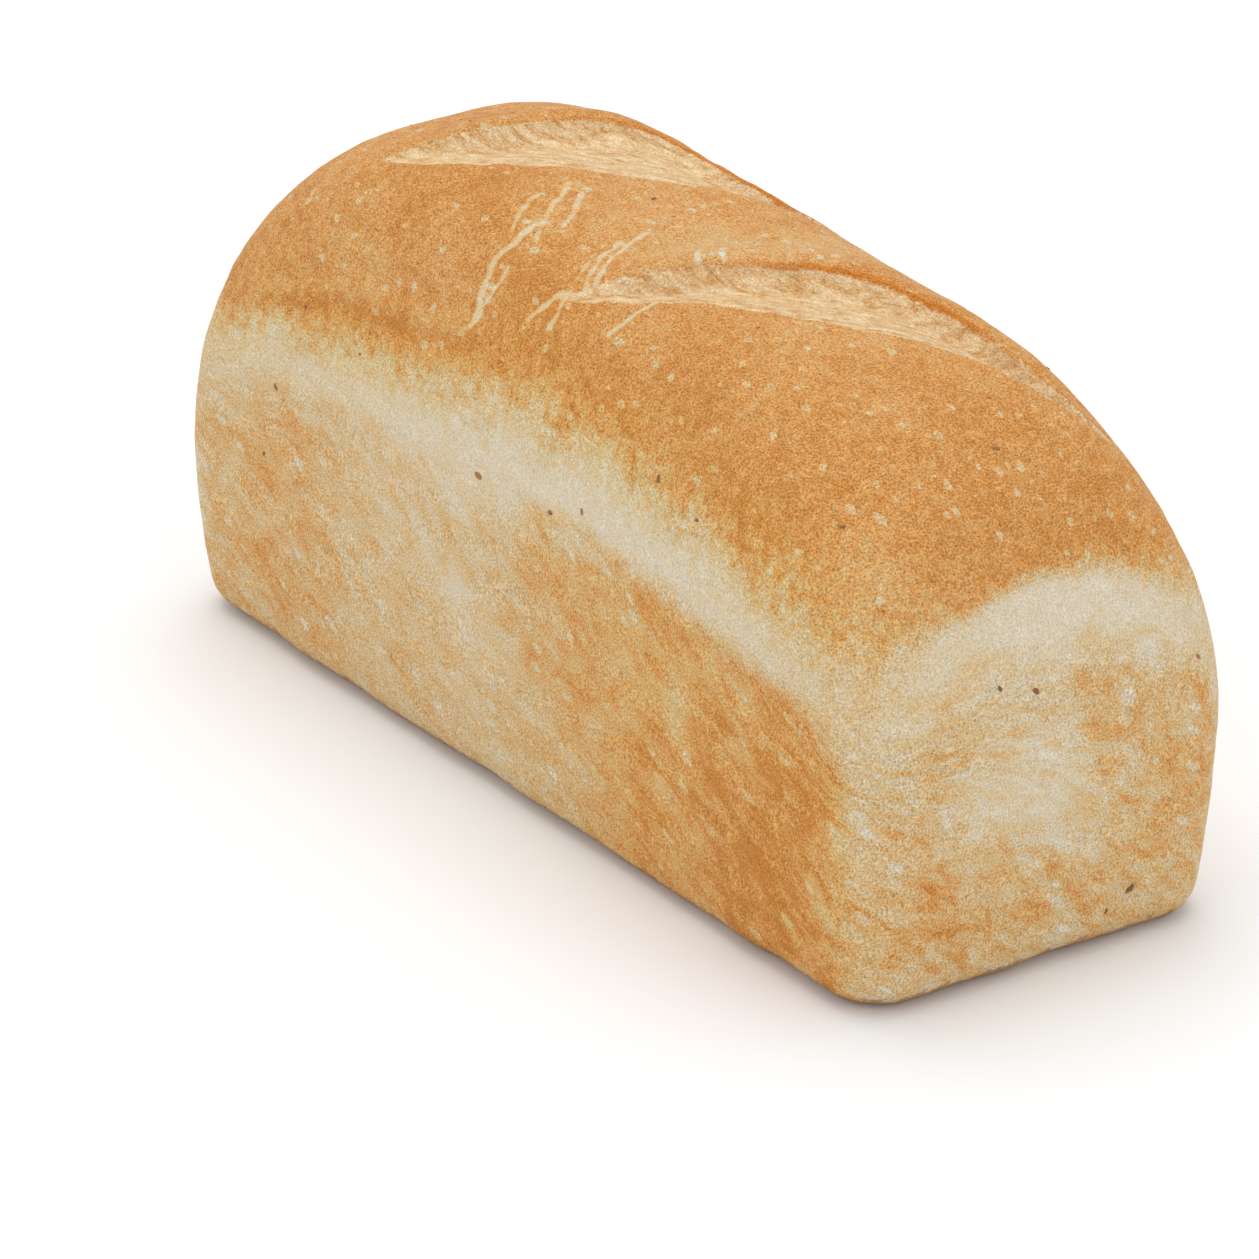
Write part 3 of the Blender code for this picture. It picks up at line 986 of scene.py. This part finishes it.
@dataclass(frozen=True)
class CrustFinish:
    """Baked crust, from cream to dark brown by how baked it is, with torn crumb in the slashes."""

    stops: tuple = (
        (0.00, (0.690, 0.630, 0.500)),
        (0.15, (0.665, 0.570, 0.415)),
        (0.30, (0.660, 0.515, 0.315)),
        (0.45, (0.660, 0.460, 0.225)),
        (0.60, (0.655, 0.390, 0.150)),
        (0.75, (0.650, 0.312, 0.092)),
        (0.90, (0.540, 0.215, 0.036)),
        (1.00, (0.380, 0.120, 0.014)),
    )
    crumb_stops: tuple = (
        (0.22, (0.575, 0.287, 0.090)),
        (0.42, (0.725, 0.467, 0.221)),
        (0.66, (0.830, 0.636, 0.386)),
    )
    caramel: tuple = (0.610, 0.210, 0.028)
    gold_tint: tuple = (1.03, 0.985, 0.70)
    # Colour of the dark line round the foot: partly the browner crust of the base edge, partly painted contact shade
    # where the loaf meets the floor.
    base: tuple = (0.340, 0.150, 0.040)
    roughness: float = 0.62
    specular: float = 0.20

    def dress(self, piece: bpy.types.Object) -> None:
        """Give the piece this finish.

        Args:
            piece: The skin, with its fields.
        """
        recipe = Recipe("crust")
        spot = recipe.place
        grit = recipe.field(Fields.GRIT)
        fine = recipe.noise(spot, 0.00048, 0.0)
        speck = recipe.noise(spot, 0.0032, 4.0, 0.72)
        streaks = recipe.noise(recipe.field(Fields.GRAIN), 0.0040, 4.0, 0.70, 0.4)
        mottle = recipe.between(recipe.field(Fields.FELT), speck, streaks)
        bake = recipe.plus(
            recipe.field(Fields.BAKE),
            recipe.times(recipe.field(Fields.MOTTLE), recipe.swing(mottle, 0.55)),
            recipe.times(grit, recipe.swing(fine, 0.12)),
        )
        bake = recipe.maths("SMOOTH_MIN", bake, 0.90, 0.20)
        bake, marks = self._marks(recipe, bake, speck)
        colour = recipe.tinted(recipe.field(Fields.GOLD), recipe.ramp(bake, self.stops), self.gold_tint)
        colour, tear_height = self._tears(recipe, colour, speck, fine)
        up = recipe.tree.nodes.new("ShaderNodeSeparateXYZ")
        recipe.feed(up.inputs[0], spot)
        # The dark line round the foot is partly browner crust, partly painted contact shade along the floor.
        foot_brown_and_shade_height = recipe.plus(up.outputs["Z"], recipe.swing(speck, 0.005))
        colour = recipe.blend(recipe.level(foot_brown_and_shade_height, 0.0044, 0.0024, 0.0, 0.75), colour, self.base)
        # Painted light and shade of the fine grain: each grain lighter or darker as its relief would be lit, with
        # darker pits among them.
        colour = recipe.shaded(colour, recipe.plus(1.0, recipe.times(grit, recipe.swing(fine, -0.46))))
        recipe.feed(recipe.shader.inputs["Base Color"], colour)
        recipe.shader.inputs["Roughness"].default_value = self.roughness
        recipe.shader.inputs["Specular IOR Level"].default_value = self.specular
        grains = recipe.plus(recipe.times(fine, 0.00045), recipe.times(mottle, 0.0007))
        recipe.raised(recipe.plus(recipe.times(grains, grit), marks, tear_height))
        piece.data.materials.append(recipe.material)

    def _marks(self, recipe: Recipe, bake: Socket, speck: Socket) -> tuple[Socket, Socket]:
        """Paler stretch marks, wrinkles and small blisters, taken off how baked a place is."""
        gap = recipe.field(Fields.STRETCH)
        mark = recipe.level(recipe.plus(gap, recipe.swing(speck, 0.0011)), 0.0007, -0.0001)
        beside = recipe.maths("ABSOLUTE", recipe.plus(gap, -0.0021))
        branch = recipe.level(recipe.plus(beside, recipe.swing(speck, 0.0026)), 0.0001, -0.0005, 0.0, 0.4)
        mark = recipe.maths("MAXIMUM", mark, branch)
        folds = recipe.noise(recipe.scaled(recipe.place, (1.0, 1.0, 0.7)), 0.0085, 2.0, 0.6, 0.6)
        crease = recipe.level(recipe.maths("ABSOLUTE", recipe.plus(folds, -0.5)), 0.020, 0.0)
        crease = recipe.times(crease, recipe.field(Fields.WRINKLE))
        felt = recipe.field(Fields.FELT)
        where = recipe.tree.nodes.new("ShaderNodeMix")
        where.data_type = "VECTOR"
        recipe.feed(where.inputs["Factor"], felt)
        recipe.feed(where.inputs[4], recipe.scaled(recipe.place, (0.8, 1.2, 1.0)))
        recipe.feed(where.inputs[5], recipe.field(Fields.GRAIN))
        gap, tint = recipe.spots(where.outputs[1], 0.0042)
        parts = recipe.tree.nodes.new("ShaderNodeSeparateColor")
        recipe.feed(parts.inputs[0], tint)
        size = recipe.level(parts.outputs[0], 0.15, 1.0, -0.02, 0.27)
        blister = recipe.level(recipe.plus(gap, recipe.times(size, -1.0), recipe.swing(speck, 0.24)), 0.05, -0.05)
        browned = recipe.plus(recipe.field(Fields.BAKE), recipe.times(felt, 0.15))
        browned = recipe.level(browned, 0.50, 0.65)
        blister = recipe.times(blister, browned)
        paler = recipe.plus(recipe.times(mark, 0.44), recipe.times(crease, 0.08), recipe.times(blister, 0.32))
        return recipe.maths("SUBTRACT", bake, paler), recipe.times(crease, -0.00010)

    def _tears(self, recipe: Recipe, colour: Socket, speck: Socket, fine: Socket) -> tuple[Socket, Socket]:
        """Torn crumb inside the slashes and the caramel edge of their lips, laid over a colour."""
        strands = recipe.noise(recipe.scaled(recipe.field(Fields.FIBRE), (0.30, 1.0, 1.0)), 0.0020, 4.0, 0.78, 0.4)
        tone = recipe.plus(recipe.swing(strands, 0.90), recipe.swing(speck, 0.20), 0.50)
        crumb = recipe.ramp(tone, self.crumb_stops)
        ragged = recipe.swing(speck, 0.0012)
        torn = recipe.level(recipe.plus(recipe.field(Fields.TEAR), ragged), -0.0004, 0.0002)
        colour = recipe.blend(torn, colour, crumb)
        past = recipe.plus(recipe.field(Fields.LIP), ragged)
        rise = recipe.level(past, -0.0008, -0.0002)
        fall = recipe.level(past, 0.0013, 0.0005)
        edge = recipe.times(recipe.times(rise, fall), recipe.field(Fields.CARAMEL))
        colour = recipe.blend(edge, colour, self.caramel)
        return colour, recipe.times(torn, recipe.swing(strands, 0.0006))


@dataclass(frozen=True)
class BranFinish:
    """Dark toasted bran."""

    colour: tuple = (0.200, 0.075, 0.022)
    pale: tuple = (0.360, 0.150, 0.045)
    roughness: float = 0.55

    def dress(self, piece: bpy.types.Object) -> None:
        """Give the piece this finish."""
        recipe = Recipe("toasted_bran")
        share = recipe.level(recipe.noise(recipe.place, 0.004, 2.0), 0.4, 0.62)
        recipe.feed(recipe.shader.inputs["Base Color"], recipe.blend(share, self.colour, self.pale))
        recipe.shader.inputs["Roughness"].default_value = self.roughness
        piece.data.materials.append(recipe.material)


# --------------------------------------------------------------------------- bran flecks


@dataclass
class BranFlecks:
    """Small flecks of toasted bran baked into the crust: flattened beads, each turned its own way."""

    skin: CrustSkin
    seed: int = 7
    scattered: int = 46
    sides: int = 8
    rows: int = 4
    placed: tuple = (
        (-0.07, -0.97, 0.585, 1.6), (0.135, -0.97, 0.60, 1.3), (0.22, -0.95, 0.63, 1.0),
        (0.40, -0.90, 0.755, 1.2), (0.51, -0.91, 0.725, 0.8), (-0.68, -0.98, 0.525, 1.1),
        (-0.62, -0.93, 0.695, 1.0), (-0.66, -0.89, 0.732, 0.8), (-0.10, -0.85, 0.815, 0.8),
        (-0.71, -1.0, 0.395, 0.9), (0.79, 0.09, 0.866, 1.2), (0.79, -0.70, 0.80, 0.9),
        (1.0, -0.08, 0.517, 1.3), (1.0, -0.26, 0.55, 1.0), (1.0, 0.43, 0.10, 1.7),
        (1.0, 0.32, 0.07, 1.0), (1.0, 0.79, 0.495, 1.0), (-0.44, -0.93, 0.67, 0.7),
    )

    def build(self, name: str) -> bpy.types.Object:
        """Make all the flecks as one mesh.

        A fleck is a bead: rows of latitude by sides of longitude, with a point at each pole. It is
        laid flat on the skin, longer one way than the other, and sunk halfway in.

        Args:
            name: Name of the object and of its mesh.

        Returns:
            The object, linked to the scene.
        """
        draw = np.random.default_rng(self.seed)
        form = self.skin.form
        scale = np.array([form.half_length, form.half_width, form.height])
        spots = np.array([spot[:3] for spot in self.placed]) * scale
        nearest = [int(np.argmin(((self.skin.points - spot) ** 2).sum(axis=1))) for spot in spots]
        sizes = [spot[3] for spot in self.placed]
        hidden = np.flatnonzero((self.skin.points[:, 1] > -0.02) & (self.skin.points[:, 2] > 0.012)
                                & (self.skin.points[:, 0] < 0.10) & (self.skin.fields[Fields.TEAR] < -0.004))
        chosen = draw.choice(hidden, self.scattered, replace=False)
        where = np.concatenate([nearest, chosen]).astype(int)
        size = np.concatenate([sizes, draw.uniform(0.35, 1.1, self.scattered)])
        centre = self.skin.points[where]
        normal = self.skin.normals()[where]
        turn = draw.uniform(0.0, 2.0 * np.pi, len(where))
        side = np.cross(normal, np.where(np.abs(normal[:, 2:]) < 0.9, [[0.0, 0.0, 1.0]], [[1.0, 0.0, 0.0]]))
        side = side / np.linalg.norm(side, axis=1, keepdims=True)
        other = np.cross(normal, side)
        long = side * np.cos(turn)[:, None] + other * np.sin(turn)[:, None]
        wide = np.cross(normal, long)
        latitude = np.pi * np.arange(1, self.rows) / self.rows
        longitude = 2.0 * np.pi * np.arange(self.sides) / self.sides
        ring = np.stack([
            np.outer(np.sin(latitude), np.cos(longitude)).ravel(),
            np.outer(np.sin(latitude), np.sin(longitude)).ravel(),
            np.repeat(np.cos(latitude), self.sides),
        ], axis=-1)
        bead = np.concatenate([[[0.0, 0.0, 1.0]], ring, [[0.0, 0.0, -1.0]]])
        bead = bead * np.array([0.85, 0.5, 0.28]) * MM
        knobbly = draw.uniform(0.8, 1.2, (len(where), len(bead), 1))
        local = bead[None] * size[:, None, None] * knobbly
        points = centre[:, None] + local[..., :1] * long[:, None] + local[..., 1:2] * wide[:, None]
        points = points + local[..., 2:] * normal[:, None]
        faces = self._bead_faces()
        shift = np.arange(len(where)) * len(bead)
        listed = [[corner + start for corner in face] for start in shift.tolist() for face in faces]
        made = bpy.data.meshes.new(name)
        made.from_pydata(points.reshape(-1, 3).tolist(), [], listed)
        made.shade_smooth()
        made.validate()
        flecks = bpy.data.objects.new(name, made)
        bpy.context.scene.collection.objects.link(flecks)
        return flecks

    def _bead_faces(self) -> list[list[int]]:
        """Faces of one bead, from its upper pole to its lower one, facing outwards."""
        faces = []
        last = 1 + (self.rows - 1) * self.sides
        for side in range(self.sides):
            after = (side + 1) % self.sides
            faces.append([0, 1 + side, 1 + after])
            for row in range(self.rows - 2):
                start = 1 + row * self.sides
                below = start + self.sides
                faces.append([start + side, below + side, below + after, start + after])
            start = last - self.sides
            faces.append([last, start + after, start + side])
        return faces


# --------------------------------------------------------------------------- studio


@dataclass
class Studio:
    """Pale floor, soft light and the camera."""

    azimuth: float = 55.2
    elevation: float = 25.0
    distance: float = 1.8145
    aim: tuple = (-0.0005, -0.0157, 0.0344)
    lens: float = 223.8
    sensor: float = 36.0
    floor_half: float = 6.0
    floor_colour: tuple = (0.92, 0.93, 0.94)
    sky: float = 0.80
    top_light: float = 17.0
    front_light: float = 5.0
    end_light: float = 7.4

    def build(self) -> None:
        """Make the floor, the light and the camera."""
        self._floor()
        self._sky()
        self._softbox("softbox_above", (-0.5, 0.1, 2.0), 1.8, self.top_light)
        self._softbox("softbox_front", (0.0, -2.2, 1.3), 1.6, self.front_light)
        self._softbox("softbox_end", (2.4, 0.4, 1.0), 1.6, self.end_light)
        self._camera()

    def _floor(self) -> None:
        """A wide level floor."""
        half = self.floor_half
        corners = [(-half, -half, 0.0), (half, -half, 0.0), (half, half, 0.0), (-half, half, 0.0)]
        made = bpy.data.meshes.new("floor")
        made.from_pydata(corners, [], [(0, 1, 2, 3)])
        floor = bpy.data.objects.new("floor", made)
        bpy.context.scene.collection.objects.link(floor)
        material = bpy.data.materials.new("floor")
        material.use_nodes = True
        shader = material.node_tree.nodes["Principled BSDF"]
        shader.inputs["Base Color"].default_value = (*self.floor_colour, 1.0)
        shader.inputs["Roughness"].default_value = 0.9
        shader.inputs["Specular IOR Level"].default_value = 0.1
        made.materials.append(material)

    def _sky(self) -> None:
        """Even white light from all round, and a plain rendering of colours."""
        world = bpy.data.worlds.new("studio")
        world.use_nodes = True
        world.node_tree.nodes["Background"].inputs["Color"].default_value = (1.0, 1.0, 1.0, 1.0)
        world.node_tree.nodes["Background"].inputs["Strength"].default_value = self.sky
        bpy.context.scene.world = world
        bpy.context.scene.view_settings.view_transform = "Standard"
        bpy.context.scene.view_settings.look = "None"

    def _softbox(self, name: str, place: tuple, size: float, power: float) -> None:
        """A square area light that faces the loaf."""
        light = bpy.data.lights.new(name, "AREA")
        light.shape = "SQUARE"
        light.size = size
        light.energy = power
        box = bpy.data.objects.new(name, light)
        box.location = place
        box.rotation_euler = (Vector(self.aim) - Vector(place)).to_track_quat("-Z", "Y").to_euler()
        bpy.context.scene.collection.objects.link(box)

    def _camera(self) -> None:
        """The camera, as far along its line of sight as its long lens needs."""
        turn = math.radians(self.azimuth)
        lift = math.radians(self.elevation)
        back = Vector((math.sin(turn) * math.cos(lift), -math.cos(turn) * math.cos(lift), math.sin(lift)))
        lens = bpy.data.cameras.new("camera")
        lens.lens = self.lens
        lens.sensor_width = self.sensor
        camera = bpy.data.objects.new("camera", lens)
        camera.location = Vector(self.aim) + back * self.distance
        camera.rotation_euler = (-back).to_track_quat("-Z", "Y").to_euler()
        bpy.context.scene.collection.objects.link(camera)
        bpy.context.scene.camera = camera


def clear_scene() -> None:
    """Remove the objects that a new file starts with."""
    for item in list(bpy.data.objects):
        bpy.data.objects.remove(item, do_unlink=True)


def main() -> None:
    """Load the frame, build the loaf's looks and the studio, and report each piece."""
    logging.basicConfig(level=logging.INFO, format="%(name)s: %(message)s")
    clear_scene()
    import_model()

    form = LoafForm(*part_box("loaf"))
    skin = CrustSkin(form)
    skin.build()
    skin.relieve()
    crust = skin.mesh("crust")
    CrustFinish().dress(crust)
    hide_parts("loaf")
    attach(crust, "root")
    LOG.info("crust: %d points, %d faces", len(skin.points), len(skin.faces))

    flecks = BranFlecks(skin).build("bran_flecks")
    BranFinish().dress(flecks)
    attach(flecks, "root")
    LOG.info("bran_flecks: %d faces", len(flecks.data.polygons))

    Studio().build()


if __name__ == "__main__":
    main()
